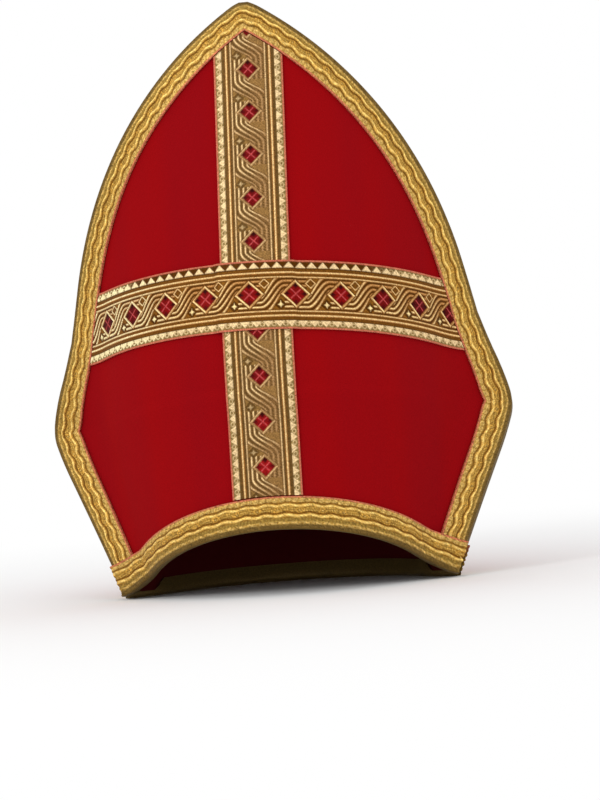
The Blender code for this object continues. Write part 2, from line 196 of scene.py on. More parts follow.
def tone(red, green, blue):
    """Linear colour of a screen colour."""
    value = np.array([red, green, blue]) / 255.0
    return np.where(value <= 0.04045, value / 12.92, ((value + 0.055) / 1.055) ** 2.4)


TONES = {
    "velvet": tone(149, 6, 11),
    "velvet_cool": tone(141, 7, 15),
    "lining": tone(84, 12, 16),
    "selvedge": tone(198, 110, 84),
    "cream": tone(240, 208, 156),
    "shine": tone(255, 238, 184),
    "salmon_cord": tone(180, 118, 56),
    "salmon_crest": tone(255, 224, 158),
    "gold_cord": tone(158, 116, 70),
    "gold_crest": tone(255, 220, 160),
    "brown": tone(84, 46, 2),
    "bronze": tone(114, 70, 18),
    "field": tone(130, 82, 24),
    "umber": tone(104, 74, 34),
    "pale_field": tone(142, 106, 56),
    "garnet_lit": tone(150, 16, 18),
    "olive": tone(150, 124, 72),
    "garnet": tone(128, 8, 6),
    "garnet_dark": tone(52, 3, 3),
    "pink": tone(206, 84, 84),
    "braid": tone(174, 132, 54),
    "braid_bright": tone(255, 218, 128),
    "braid_warm": tone(214, 164, 72),
    "braid_dark": tone(112, 68, 6),
    "braid_loop": tone(218, 180, 102),
    "braid_rib": tone(162, 132, 62),
    "braid_fold_shade": tone(100, 78, 38),
    "braid_back": tone(104, 84, 46),
}


def smoothstep(value):
    """Ease from 0 to 1 while the value goes from 0 to 1."""
    share = np.clip(value, 0.0, 1.0)
    return share * share * (3.0 - 2.0 * share)


# Flat cut of the panel
def upper_arc():
    """Centre and radius of the arc from the spring of the point up to the tip."""
    low = np.array([SPRING_HALF_ARC, SPRING_HEIGHT])
    high = np.array([TIP_HALF_WIDTH, PANEL_HEIGHT])
    chord = high - low
    length = float(np.hypot(*chord))
    radius = (length * length / 4.0 + UPPER_EDGE_BULGE ** 2) / (2.0 * UPPER_EDGE_BULGE)
    inward = np.array([-chord[1], chord[0]]) / length
    return (low + high) / 2.0 + inward * (radius - UPPER_EDGE_BULGE), radius


def sharp_half_arc(height):
    """Half of the cloth's width at a height, with sharp shoulders."""
    centre, radius = upper_arc()
    lines = np.interp(height, [0.0, SHOULDER_HEIGHT, SPRING_HEIGHT],
                      [RIM_HALF_ARC, SHOULDER_HALF_ARC, SPRING_HALF_ARC])
    arc = centre[0] + np.sqrt(np.maximum(radius ** 2 - (height - centre[1]) ** 2, 0.0))
    return np.where(height <= SPRING_HEIGHT, lines, arc)


def blended(function, height, reach):
    """Mean of a function over its neighbourhood in height, narrowing at both ends."""
    window = np.minimum(reach, np.minimum(height, PANEL_HEIGHT - height))
    offsets = np.linspace(-1.0, 1.0, BLEND_SAMPLES)
    return np.mean([function(height + window * offset) for offset in offsets], axis=0)


def level_value(column, height):
    """A column of the level table at a height, eased from row to row."""
    heights = [row["height"] * PANEL_HEIGHT for row in LEVELS]
    values = [row[column] for row in LEVELS]
    return blended(lambda place: np.interp(place, heights, values), height, LEVEL_BLEND)


TABLE_HEIGHTS = np.linspace(0.0, PANEL_HEIGHT, HEIGHT_STEPS + 1)
TABLE_ARCS = blended(sharp_half_arc, TABLE_HEIGHTS, SHOULDER_ROUNDING)


def half_arc(height):
    """Half of the cloth's width at a height, with rounded shoulders."""
    return np.interp(height, TABLE_HEIGHTS, TABLE_ARCS)


def section_tables():
    """Reach and depth of the cloth at every level and share of the half arc."""
    arc = TABLE_ARCS[:, None]
    radius = level_value("radius", TABLE_HEIGHTS)[:, None] * BEND_RADIUS
    knee = 1.0 - level_value("flare", TABLE_HEIGHTS)[:, None]
    edge_angle = np.radians(level_value("edge_angle", TABLE_HEIGHTS))[:, None]
    share = np.linspace(0.0, 1.0, SHARE_STEPS + 1)[None, :]
    back_turn = smoothstep((share - knee) / (1.0 - knee))
    knee_angle = arc * knee / radius
    angle = np.where(share < knee, arc * share / radius,
                     knee_angle + (edge_angle - knee_angle) * back_turn)
    tables = []
    for slope in (np.cos(angle), np.sin(angle)):
        steps = (slope[:, 1:] + slope[:, :-1]) / 2.0 * arc / SHARE_STEPS
        tables.append(np.hstack([np.zeros_like(arc), np.cumsum(steps, axis=1)]))
    return tables


REACH, DEPTH = section_tables()


def centre_depths():
    """Distance of the panel's middle from the mitre's middle plane at every level."""
    ends = DEPTH[:, -1]
    at_shoulder = np.interp(SHOULDER_HEIGHT, TABLE_HEIGHTS, ends)
    below = np.interp(SHOULDER_HEIGHT - LEVEL_BLEND, TABLE_HEIGHTS, ends)
    slope = (at_shoulder - below) / LEVEL_BLEND
    share = np.minimum((TABLE_HEIGHTS - SHOULDER_HEIGHT) / CENTRE_SETTLE, 1.0)
    above = at_shoulder + slope * CENTRE_SETTLE * (share - share ** 2 / 2.0)
    return np.where(TABLE_HEIGHTS <= SHOULDER_HEIGHT, ends, above) + SEAM_HALF


CENTRE_DEPTHS = centre_depths()


def looked_up(table, row, column):
    """Value between the entries of a table."""
    low_row = np.clip(np.floor(row).astype(int), 0, HEIGHT_STEPS - 1)
    low_column = np.clip(np.floor(column).astype(int), 0, SHARE_STEPS - 1)
    up = row - low_row
    along = column - low_column
    first = table[low_row, low_column] * (1 - along) + table[low_row, low_column + 1] * along
    second = (table[low_row + 1, low_column] * (1 - along)
              + table[low_row + 1, low_column + 1] * along)
    return first * (1 - up) + second * up


def surface(side, height):
    """Points of the front panel's outer face, in the frame of the upright mitre."""
    side, height = np.broadcast_arrays(np.asarray(side, float), np.asarray(height, float))
    level = np.clip(height, 0.0, PANEL_HEIGHT)
    share = np.clip(np.abs(side) / half_arc(level), 0.0, 1.0)
    row = level / PANEL_HEIGHT * HEIGHT_STEPS
    column = share * SHARE_STEPS
    across = np.copysign(looked_up(REACH, row, column), side)
    deep = looked_up(DEPTH, row, column) - np.interp(level, TABLE_HEIGHTS, CENTRE_DEPTHS)
    return np.stack([across, deep, level], axis=-1)


def normal(side, height):
    """Directions straight out of the front panel's face."""
    side, height = np.broadcast_arrays(np.asarray(side, float), np.asarray(height, float))
    level = np.clip(height, NORMAL_STEP, PANEL_HEIGHT - NORMAL_STEP)
    lower = np.where(level > SHOULDER_HEIGHT, half_arc(level - NORMAL_STEP), half_arc(level))
    limit = np.minimum(lower, half_arc(level + NORMAL_STEP))
    place = np.clip(side, NORMAL_STEP - limit, limit - NORMAL_STEP)
    along = surface(place + NORMAL_STEP, level) - surface(place - NORMAL_STEP, level)
    up = surface(place, level + NORMAL_STEP) - surface(place, level - NORMAL_STEP)
    out = np.cross(along, up)
    return out / np.linalg.norm(out, axis=-1, keepdims=True)


def lifted(side, height, lift):
    """Points at a distance in front of the panel's outer face."""
    return surface(side, height) + normal(side, height) * np.asarray(lift)[..., None]


def floor_height(depth):
    """Height of the floor at a depth, in the frame of the upright mitre."""
    return (-depth - SEAM_HALF) * math.tan(REST_LEAN)


def rim_height(side, face):
    """Height of the bottom rim: an arch in front, and flat on the floor at the back."""
    side = np.asarray(side, float)
    if face == "front":
        return FRONT_RIM_ARCH * (1.0 - np.minimum(np.abs(side) / RIM_HALF_ARC, 1.0) ** 2)
    height = np.zeros_like(side)
    for _ in range(FLOOR_ROUNDS):
        height = np.maximum(floor_height(surface(side, height)[..., 1]), 0.0)
    return height


# Rails along the panel edge
def offset_path(points, distance):
    """A path moved sideways to its left."""
    path = np.array(points)
    ahead = np.gradient(path, axis=0)
    ahead /= np.hypot(ahead[:, 0], ahead[:, 1])[:, None]
    return path + distance * np.stack([-ahead[:, 1], ahead[:, 0]], axis=1)


def resample(points, count):
    """The same path with evenly spaced points."""
    path = np.array(points)
    travelled = np.concatenate([[0.0], np.cumsum(np.hypot(*np.diff(path, axis=0).T))])
    places = np.linspace(0.0, travelled[-1], count)
    return np.stack([np.interp(places, travelled, path[:, k]) for k in (0, 1)], axis=1)


def crossing(first, second):
    """Where two straight lines meet."""
    a, b = first
    c, d = second
    share = np.linalg.solve(np.array([b - a, c - d]).T, c - a)[0]
    return a + (b - a) * share


def side_rails(inset):
    """Outer and inner rails of one side, each below and above the shoulder."""
    corner = np.array([RIM_HALF_ARC, 0.0])
    shoulder = np.array([SHOULDER_HALF_ARC, SHOULDER_HEIGHT])
    rise = np.sin(np.linspace(0.0, math.pi / 2.0, UPPER_RAIL_STEPS))
    heights = np.concatenate([np.linspace(SHOULDER_HEIGHT, SPRING_HEIGHT, SPRING_RAIL_STEPS)[:-1],
                              SPRING_HEIGHT + (PANEL_HEIGHT - SPRING_HEIGHT) * rise])
    upper = np.stack([sharp_half_arc(heights), heights], axis=1)
    lower_inner = offset_path([corner, shoulder], inset)
    upper_inner = offset_path(upper, inset)
    knee = crossing(lower_inner, upper_inner[:2])
    kept = upper_inner[1:][upper_inner[1:, 0] > 0.0]
    after = upper_inner[1 + len(kept)]
    peak = kept[-1] + (after - kept[-1]) * kept[-1][0] / (kept[-1][0] - after[0])
    foot = crossing(lower_inner, (np.array([0.0, 0.0]), corner))
    return [corner, shoulder], upper, [foot, knee], np.vstack([[knee], kept, [peak]])


def braid_rails(face, step):
    """Outer and inner rails of an edge braid, and the distance along it."""
    lower, upper, lower_inner, upper_inner = side_rails(EDGE_BRAID_WIDTH)
    counts = []
    for stretch in (lower, upper):
        counts.append(int(np.hypot(*np.diff(np.array(stretch), axis=0).T).sum() / step) + 2)
    outer = np.vstack([resample(lower, counts[0])[:-1], resample(upper, counts[1])])
    inner = np.vstack([resample(lower_inner, counts[0])[:-1], resample(upper_inner, counts[1])])
    outer[:, 0] = np.minimum(outer[:, 0], half_arc(outer[:, 1]))
    outer[:, 1] -= TIP_DROP * np.exp(-(outer[:, 0] / TIP_SPREAD) ** 2)
    for rail in (outer, inner):
        rail[:, 1] = np.maximum(rail[:, 1], rim_height(rail[:, 0], face) + END_GAP)
    mirror = np.array([-1.0, 1.0])
    outer = np.vstack([outer, outer[::-1] * mirror])
    inner = np.vstack([inner, inner[::-1] * mirror])
    middle = (outer + inner) / 2.0
    along = np.concatenate([[0.0], np.cumsum(np.hypot(*np.diff(middle, axis=0).T))])
    return outer, inner, along


INNER_LOWER, INNER_UPPER = side_rails(EDGE_BRAID_WIDTH)[2:]
INNER_PATH = np.vstack([INNER_LOWER, INNER_UPPER[1:]])


def inner_edge_side(height):
    """Where the edge braid's inner side lies, at a height."""
    return np.interp(height, INNER_PATH[:, 1], INNER_PATH[:, 0])


def inner_edge_height(side):
    """How high the edge braid's inner side lies above the shoulder, at a side distance."""
    return np.interp(np.abs(side), INNER_UPPER[::-1, 0], INNER_UPPER[::-1, 1])


# Weave functions, all in millimetres
def weave(shape, ground, metal):
    """Plain cloth of one tone, with its relief in millimetres and its share of metal."""
    return {"relief": np.zeros(shape), "colour": np.tile(TONES[ground], shape + (1,)),
            "metal": np.full(shape, metal)}


def lay(cloth, cover, relief, name, metal):
    """Lay threads over the cloth where cover is more than zero."""
    cloth["relief"] = cloth["relief"] * (1 - cover) + relief * cover
    cloth["colour"] = cloth["colour"] * (1 - cover[..., None]) + TONES[name] * cover[..., None]
    cloth["metal"] = cloth["metal"] * (1 - cover) + metal * cover


def inside(distance, softness=0.35):
    """Cover of a shape from the signed distance to its outline."""
    return smoothstep(0.5 - distance / (2.0 * softness))


def between(value, low, high):
    """Cover of a band between two distances."""
    return inside(np.maximum(low - value, value - high))


def round_cord(distance, radius):
    """Height of a round cord, as a share of its radius."""
    return np.sqrt(np.clip(1.0 - (distance / radius) ** 2, 0.0, 1.0))


def lay_cord(cloth, distance, radius, height, name, crest=None, metal=0.5):
    """A round cord, with a painted highlight in a lighter tone along its crest."""
    profile = round_cord(distance, radius)
    lay(cloth, inside(np.abs(distance) - radius), -0.1 + height * profile, name, metal)
    if crest is not None:
        lay(cloth, inside(np.abs(distance) - 0.35 * radius), height - 0.1, crest, metal)


def grained(cloth, amount):
    """Uneven threads: each one a little lighter or darker than the next."""
    chance = np.random.default_rng(GRAIN_SEED).normal(0.0, 1.0, cloth["metal"].shape)
    cloth["colour"] = cloth["colour"] * np.clip(1.0 + amount * chance, 0.3, 1.8)[..., None]
    return cloth


def lay_scrolls(cloth, along, across, style):
    """Four strands that sweep from one side to the other between two diamonds."""
    cell = np.floor(along / PATTERN_PITCH)
    for shift in (-1, 0, 1):
        local = along - (cell + shift) * PATTERN_PITCH
        share = (local - PATTERN_PITCH / 2.0) / SCROLL_SWEEP + 0.5
        middle = SCROLL_SWING * (2.0 * smoothstep(share) - 1.0)
        inner = np.clip(share, 0.0, 1.0)
        slope = SCROLL_SWING * 12.0 * inner * (1.0 - inner) / SCROLL_SWEEP
        away = (across - middle) / np.sqrt(1.0 + slope ** 2)
        present = inside(np.maximum(-SCROLL_OVERLAP - local,
                                    local - PATTERN_PITCH - SCROLL_OVERLAP))
        # Painted highlight on the crest of each strand, bright where its sweep begins and fading
        # along it.
        lit = 0.2 + 0.8 * smoothstep(1.2 - style["scroll_fade"] * share)
        under = present * inside(np.abs(away) - 1.9 * SCROLL_SPACING)
        lay(cloth, under, -0.25, style["gap"], 0.3)
        for strand in (-1.5, -0.5, 0.5, 1.5):
            distance = np.abs(away - strand * SCROLL_SPACING)
            cover = present * inside(distance - CORD_RADIUS)
            lay(cloth, cover, 0.5 * round_cord(distance, CORD_RADIUS), style["cord"], 0.5)
            lay(cloth, present * lit * inside(distance - 0.4), 0.5, style["crest"], 0.5)


def lay_leaves(cloth, along, local, across, style):
    """Small figures in the corners between the scrolls and the diamonds."""
    gap, cord, crest = style["gap"], style["cord"], style["crest"]
    if style["hatched"]:
        hatch = np.sin(2.0 * math.pi * (along - across) / HATCH_PITCH)
        cover = 0.55 * smoothstep(0.5 + hatch) * smoothstep((across + 2.0) / 6.0)
        lay(cloth, cover, 0.1, cord, 0.4)
    else:
        upper_leaf = np.abs(local - LEAF_ALONG) + np.abs(across - LEAF_ACROSS)
        lay(cloth, inside(upper_leaf - 4.6), -0.1, gap, 0.3)
        # The leaf's cord carries a painted highlight along its crest.
        lay_cord(cloth, upper_leaf - 3.4, 0.7, 0.4, cord, crest)
        lay(cloth, inside(upper_leaf - 2.0), 0.0, "bronze", 0.3)
    back, low = np.abs(local + LEAF_ALONG), np.abs(across + LEAF_ACROSS)
    lay(cloth, inside(back + low - 4.4), -0.1, gap, 0.3)
    point = np.sqrt(back) + np.sqrt(low)
    lay(cloth, style["star"] * inside((point - 1.75) * 1.2), 0.4, crest, 0.4)


def lay_stones(cloth, along, local, across, style):
    """Red diamonds in a corded frame, each with a fine cross and darker corners; painted
    highlight on two sides of the frame and painted shade on the upper corners.
    """
    diamond = np.abs(local) + np.abs(across) - style["stone_half"]
    stone = inside(diamond)
    lay(cloth, style["surround"] * inside(diamond - 3.4), -0.3, style["gap"], 0.3)
    ring = (diamond - 1.5) / math.sqrt(2.0)
    lay_cord(cloth, ring, 0.85, 0.7, style["cord"])
    # Painted highlight on the frame cord: strong on two opposite sides, faint on the other two.
    lit = style["frame"] * np.where(local * across < 0.0, 0.3, 1.0)
    lay(cloth, lit * inside(np.abs(ring) - 0.45), 0.6, style["crest"], 0.5)
    lay(cloth, stone, 0.05, style["stone"], 0.05)
    # On the upright the stones darken towards the top. Painted shade darkens the upper corners of
    # every stone more than the lower ones.
    if style["hatched"]:
        upper = 0.45 * smoothstep((150.0 - along) / 60.0)
        lay(cloth, upper * stone, 0.05, "garnet_dark", 0.05)
        shaded = 0.65 - 0.35 * np.clip(local / 2.0, -1.0, 1.0)
    else:
        shaded = 0.85 + 0.15 * np.sign(across)
    arm = np.abs(np.abs(local) - np.abs(across))
    tips = stone * smoothstep((arm - style["facet_start"]) / 3.0)
    lay(cloth, tips * shaded, -0.05, "garnet_dark", 0.05)
    cross = inside(np.maximum(arm / math.sqrt(2.0) - 0.35, diamond + 0.8))
    lay(cloth, 0.85 * cross, 0.25, "pink", 0.15)


def lay_border(cloth, edge, style):
    """Two cords beside plain bands, along both edges of the galloon."""
    lay(cloth, inside(edge - BORDER_WIDTH), -0.3, style["gap"], 0.3)
    # Both cords carry a painted highlight along their crests.
    lay_cord(cloth, edge - FINE_CORD_LANE, 0.65, 0.4, style["cord"], style["crest"])
    lay(cloth, between(edge, *INNER_LANE), -0.2, style["band"], 0.3)
    lay_cord(cloth, edge - MAIN_CORD_LANE, 0.95, 0.8, "salmon_cord", "salmon_crest")
    lay(cloth, between(edge, *OUTER_LANE), -0.1, style["band"], 0.35)


def lay_teeth(cloth, along, across, edge, style):
    """Saw-tooth edge, its valleys filled with pale loops: along all of the upright, along the
    lower edge of the cross band, and as painted highlight at the cross band's ends.
    """
    if style["hatched"]:
        pale = 0.75
    else:
        # Painted highlight: the valleys turn pale towards both ends of the cross band, where it
        # turns away.
        ends = 0.65 * smoothstep((np.abs(along) - 85.0) / 30.0)
        pale = np.maximum(0.75 * inside(across), ends)
    valley = inside(edge - VALLEY_WIDTH)
    lay(cloth, style["valley"] * valley, -0.15, style["gap"], 0.3)
    lay(cloth, valley * pale, 0.0, "olive", 0.3)
    saw = np.abs(np.mod(along, TOOTH_PITCH) - TOOTH_PITCH / 2.0)
    slant = (edge - TOOTH_FOOT) / TOOTH_DEPTH * TOOTH_PITCH * style["tooth_spread"]
    lane = np.maximum(TOOTH_LANE[0] - edge, edge - TOOTH_LANE[1])
    lay(cloth, inside(np.maximum((saw - slant) * 0.8, lane)), 0.3, "cream", 0.3)
    loop = np.hypot(TOOTH_PITCH / 2.0 - saw, (edge - 3.4) * 1.3)
    lay(cloth, pale * inside(np.abs(loop - 1.5) - 0.35), 0.25, "cream", 0.3)
    lay(cloth, 0.6 * pale * inside(np.hypot(saw, edge - 4.0) - 0.5), 0.1, "olive", 0.3)


def galloon_weave(along, across, style):
    """Diamonds between running scrolls, with corded borders and a saw-tooth edge."""
    cloth = weave(along.shape, style["ground"], 0.35)
    local = along - np.round(along / PATTERN_PITCH) * PATTERN_PITCH
    edge = GALLOON_WIDTH / MILLIMETRE / 2.0 - np.abs(across)
    lay_scrolls(cloth, along, across, style)
    lay_leaves(cloth, along, local, across, style)
    lay_stones(cloth, along, local, across, style)
    lay_border(cloth, edge, style)
    lay_teeth(cloth, along, across, edge, style)
    lay(cloth, inside(edge - SELVEDGE_WIDTH), 0.0, "selvedge", 0.15)
    return cloth


def lay_edge_loops(cloth, along, inward):
    """Small slanted loops along the velvet side."""
    loop = np.mod(along / LOOP_PITCH, 1.0) * LOOP_PITCH - LOOP_PITCH / 2.0
    slanted = loop + 0.6 * (inward - LOOP_LANE)
    away = np.hypot(slanted * 0.9, inward - LOOP_LANE)
    lay_cord(cloth, away - 1.0, 0.5, 0.35, "braid_loop")


def lay_rosettes(cloth, along, inward, turn):
    """Five-petalled knots between the two wavy cords, one for each wave."""
    knot = np.mod(turn / (2.0 * math.pi) + 0.25, 1.0) * BRAID_WAVE - BRAID_WAVE / 2.0
    rosette = np.hypot(knot * 0.75, inward - ROSETTE_LANE)
    petals = 1.0 + 0.35 * np.sin(5.0 * np.arctan2(knot, inward - ROSETTE_LANE) + along)
    lay(cloth, 0.6 * inside(rosette - 2.6 * petals), -0.2, "braid_dark", 0.4)
    lay_cord(cloth, rosette - 1.6 * petals, 0.5, 0.35, "braid_warm")
    lay(cloth, 0.7 * inside(rosette - 0.4), 0.25, "braid_bright", 0.5)


def lay_outer_side(cloth, along, inward, drift):
    """Ribs and grain up to the fold, painted shade where the braid rolls over at its outer edge,
    and a darker tone beyond it.
    """
    ribs = 0.5 + 0.5 * np.sin(2.0 * math.pi * along / RIB_PITCH + 0.8 * inward)
    lay(cloth, between(inward, *RIB_LANE), 0.0, "braid_rib", 0.4)
    lay(cloth, 0.5 * ribs * between(inward, *RIB_LANE), -0.15, "braid_dark", 0.4)
    grain = smoothstep(0.5 + np.sin(along * 1.5 + drift) * np.cos(along * 0.7 + inward * 1.6))
    lay(cloth, grain * between(inward, *GRAIN_LANE), 0.2, "braid_loop", 0.4)
    # Painted shade along the braid's outer edge, where it rolls over towards the fold; then a
    # darker tone over the fold and underside.
    for (low, high), cover, name, metal in ((TURN_LANE, 0.9, "braid_fold_shade", 0.4),
                                            (BACK_LANE, 1.0, "braid_back", 0.3)):
        lay(cloth, cover * smoothstep((inward - low) / (high - low)), 0.0, name, metal)


def braid_weave(along, inward, wave):
    """Two wavy cords with rosettes between them, loops at one side and ribs at the other."""
    cloth = weave(along.shape, "braid", 0.45)
    drift = 0.35 * np.sin(along / 23.0) + 0.25 * np.sin(along / 9.1 + 1.0)
    turn = 2.0 * math.pi * along / BRAID_WAVE + drift
    threads = np.sin(1.9 * along + 2.6 * inward) * np.sin(1.7 * along - 1.4 * inward + drift)
    lay(cloth, 0.45 * smoothstep(threads), 0.15, "braid_bright", 0.5)
    lay(cloth, 0.45 * smoothstep(-threads), -0.15, "braid_dark", 0.4)
    lay_edge_loops(cloth, along, inward)
    first = inward - FIRST_CORD_LANE - wave * np.sin(turn)
    second = inward - SECOND_CORD_LANE - wave * np.sin(turn + 0.5)
    lay(cloth, 0.8 * between(first, -2.3, -1.1), -0.35, "braid_dark", 0.4)
    lay_rosettes(cloth, along, inward, turn)
    lay(cloth, 0.9 * between(second, -2.5, -1.1), -0.4, "braid_dark", 0.4)
    lay(cloth, 0.5 * between(second, 1.1, 2.3), -0.3, "braid_dark", 0.4)
    # Painted highlights on the crests of both wavy cords, brighter and dimmer along each wave,
    # the second cord's out of step with the first's.
    bright = 0.7 + 0.3 * np.sin(turn * 2.0 + 0.5)
    lay_cord(cloth, first, 0.95, 0.8, "braid_warm")
    lay(cloth, bright * inside(np.abs(first) - 0.6), 0.7, "braid_bright", 0.5)
    lay_cord(cloth, second, 1.15, 0.95, "braid_warm")
    lay(cloth, (1.2 - 0.7 * bright) * inside(np.abs(second) - 0.75), 0.85, "braid_bright", 0.5)
    lay_outer_side(cloth, along, inward, drift)
    selvedge = inside(inward - SELVEDGE_WIDTH)
    lay(cloth, selvedge, -0.1, "selvedge", 0.15)
    ticks = smoothstep(np.sin(2.0 * math.pi * along / TICK_PITCH))
    lay(cloth, 0.6 * selvedge * ticks, 0.1, "salmon_cord", 0.2)
    return cloth


# Mesh making
STANCE_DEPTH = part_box("back_panel")[1].y - (CENTRE_DEPTHS[-1] * math.cos(REST_LEAN)
                                            + PANEL_HEIGHT * math.sin(REST_LEAN))
STANCE_HEIGHT = (SEAM_HALF * math.sin(REST_LEAN) + FACE_GAP * math.cos(REST_LEAN)
                 + BRAID_THICKNESS - FLOOR_TRIM)
LEAN = np.array([[1.0, 0.0, 0.0],
                 [0.0, math.cos(REST_LEAN), math.sin(REST_LEAN)],
                 [0.0, -math.sin(REST_LEAN), math.cos(REST_LEAN)]])


def standing(points, mirrored=False):
    """Points of the upright mitre carried to where it rests, pressed flat at the floor."""
    flipped = points * np.array([1.0, -1.0, 1.0]) if mirrored else points
    placed = flipped @ LEAN.T + np.array([0.0, STANCE_DEPTH, STANCE_HEIGHT])
    placed[..., 2] = np.maximum(placed[..., 2], 0.0)
    return placed


def piece(name, rings, cloth, finishes, finish_of=None, mirrored=False):
    """A closed body from rings of points, with the weave's colours on its vertices."""
    count, around = rings.shape[:2]
    points = standing(rings, mirrored).reshape(-1, 3)
    i, j = np.meshgrid(np.arange(count - 1), np.arange(around), indexing="ij")
    k = (j + 1) % around
    quads = np.stack([i * around + j, i * around + k, (i + 1) * around + k,
                      (i + 1) * around + j], axis=-1).reshape(-1, 4)
    a, b, c, d = (points[quads[:, n]] for n in range(4))
    volume = np.sum(a * np.cross(b, c)) + np.sum(a * np.cross(c, d))
    ends = [list(range(around))[::-1], list(range((count - 1) * around, count * around))]
    faces = [list(map(int, quad)) for quad in quads] + ends
    if volume < 0.0:
        faces = [face[::-1] for face in faces]
    mesh = bpy.data.meshes.new(name)
    mesh.from_pydata(points.tolist(), [], faces)
    for finish in finishes:
        mesh.materials.append(finish)
    if finish_of is not None:
        indices = np.concatenate([np.tile(finish_of, count - 1), [0, 0]]).astype(np.int32)
        mesh.polygons.foreach_set("material_index", indices)
    colour = mesh.attributes.new("tint", "FLOAT_COLOR", "POINT")
    tint = np.ones((count * around, 4))
    tint[:, :3] = cloth["colour"].reshape(-1, 3)
    colour.data.foreach_set("color", tint.ravel().astype(np.float32))
    metal = mesh.attributes.new("metal", "FLOAT", "POINT")
    metal.data.foreach_set("value", cloth["metal"].ravel().astype(np.float32))
    mesh.shade_smooth()
    mesh.set_sharp_from_angle(angle=SMOOTH_ANGLE)
    mesh.validate()
    made = bpy.data.objects.new(name, mesh)
    bpy.context.scene.collection.objects.link(made)
    return made


def register(made, node):
    """Let a made piece stand for its CAD node."""
    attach(made, "root")
    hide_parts(node)


# Finishes
def finish_material(name, roughness, grain, grain_scale, bump, specular):
    """A cloth whose colour and metal share come from the weave, broken up by fine grain."""
    made = bpy.data.materials.new(name)
    made.use_nodes = True
    nodes = made.node_tree.nodes
    links = made.node_tree.links
    shader = nodes["Principled BSDF"]
    tint = nodes.new("ShaderNodeAttribute")
    tint.attribute_name = "tint"
    metal = nodes.new("ShaderNodeAttribute")
    metal.attribute_name = "metal"
    place = nodes.new("ShaderNodeTexCoord")
    noise = nodes.new("ShaderNodeTexNoise")
    noise.inputs["Scale"].default_value = grain_scale
    noise.inputs["Detail"].default_value = 3.0
    links.new(place.outputs["Object"], noise.inputs["Vector"])
    spread = nodes.new("ShaderNodeMapRange")
    spread.inputs["From Min"].default_value = 0.3
    spread.inputs["From Max"].default_value = 0.7
    spread.inputs["To Min"].default_value = 1.0 - grain
    spread.inputs["To Max"].default_value = 1.0 + grain
    links.new(noise.outputs["Fac"], spread.inputs["Value"])
    mixed = nodes.new("ShaderNodeVectorMath")
    mixed.operation = "SCALE"
    links.new(tint.outputs["Color"], mixed.inputs[0])
    links.new(spread.outputs["Result"], mixed.inputs["Scale"])
    links.new(mixed.outputs["Vector"], shader.inputs["Base Color"])
    links.new(metal.outputs["Fac"], shader.inputs["Metallic"])
    shader.inputs["Roughness"].default_value = roughness
    shader.inputs["Specular IOR Level"].default_value = specular
    bumped = nodes.new("ShaderNodeBump")
    bumped.inputs["Strength"].default_value = 0.6
    bumped.inputs["Distance"].default_value = bump
    links.new(noise.outputs["Fac"], bumped.inputs["Height"])
    links.new(bumped.outputs["Normal"], shader.inputs["Normal"])
    return made


VELVET = finish_material("Velvet", roughness=1.0, grain=0.07, grain_scale=1400.0,
                         bump=0.0002, specular=0.05)
LINING = finish_material("Lining", roughness=0.9, grain=0.15, grain_scale=1800.0,
                         bump=0.0002, specular=0.1)
BRAID = finish_material("Braid", roughness=0.45, grain=0.22, grain_scale=900.0,
                        bump=0.0005, specular=0.1)
GALLOON = finish_material("Galloon", roughness=0.45, grain=0.20, grain_scale=900.0,
                          bump=0.0003, specular=0.05)


# Pieces
def velvet_cloth(side, height, count_inside):
    """Red pile with soft upright streaks, and a plain inside."""
    streak = (0.5 + 0.2 * np.sin(side * 105.0 + 1.3 * np.sin(height * 9.0))
              + 0.2 * np.sin(side * 41.0 + 2.0 + height * 4.0)
              + 0.1 * np.sin(side * 233.0 + height * 11.0))
    cool = np.clip(streak, 0.0, 1.0)[..., None]
    colour = TONES["velvet"] * (1.0 - cool) + TONES["velvet_cool"] * cool
    colour[:, -count_inside:] = TONES["lining"]
    return {"colour": colour, "metal": np.zeros(side.shape)}


def make_panel(face):
    """A bent wall of velvet with a plain inside, its foot following the rim."""
    rows = int(PANEL_HEIGHT / PANEL_STEP)
    columns = int(2.0 * RIM_HALF_ARC / PANEL_STEP)
    row = np.linspace(0.0, PANEL_HEIGHT - TIP_DROP, rows)[:, None]
    share = np.linspace(-1.0, 1.0, columns)[None, :]
    ease = np.maximum(1.0 - row / SHOULDER_HEIGHT, 0.0)
    height = row + rim_height(share * RIM_HALF_ARC, face) * ease
    side = share * half_arc(row + 0.0 * share)
    side = side * half_arc(height) / half_arc(row + 0.0 * share)
    outside = lifted(side, height, 0.0 * side)
    inner = slice(None, None, -HIDDEN_SHARE)
    within = lifted(side[:, inner], height[:, inner], np.full(side[:, inner].shape, -PANEL_WALL))
    rings = np.concatenate([outside, within], axis=1)
    sides = np.concatenate([side, side[:, inner]], axis=1)
    heights = np.concatenate([height, height[:, inner]], axis=1)
    hidden = within.shape[1]
    cloth = velvet_cloth(sides, heights, hidden)
    finish_of = [0] * columns + [1] * hidden
    made = piece(face + "_velvet", rings, cloth, [VELVET, LINING], finish_of, face == "back")
    register(made, face + "_panel")


def lanes_across():
    """Distances in millimetres across a braid's face, doubled at its velvet side."""
    lanes = np.linspace(0.25, BRAID_WIDTH / MILLIMETRE, FACE_STEPS)
    return np.concatenate([[0.0, 0.0], lanes])


def fold_profile(front, back):
    """Places round the folded edge: outward share, and distance along the panel's normal."""
    turn = np.linspace(0.0, math.pi, FOLD_STEPS + 2)[1:-1]
    middle = (front - back) / 2.0
    half = (front + back) / 2.0
    return np.sin(turn) ** 0.6, middle + half * np.cos(turn)


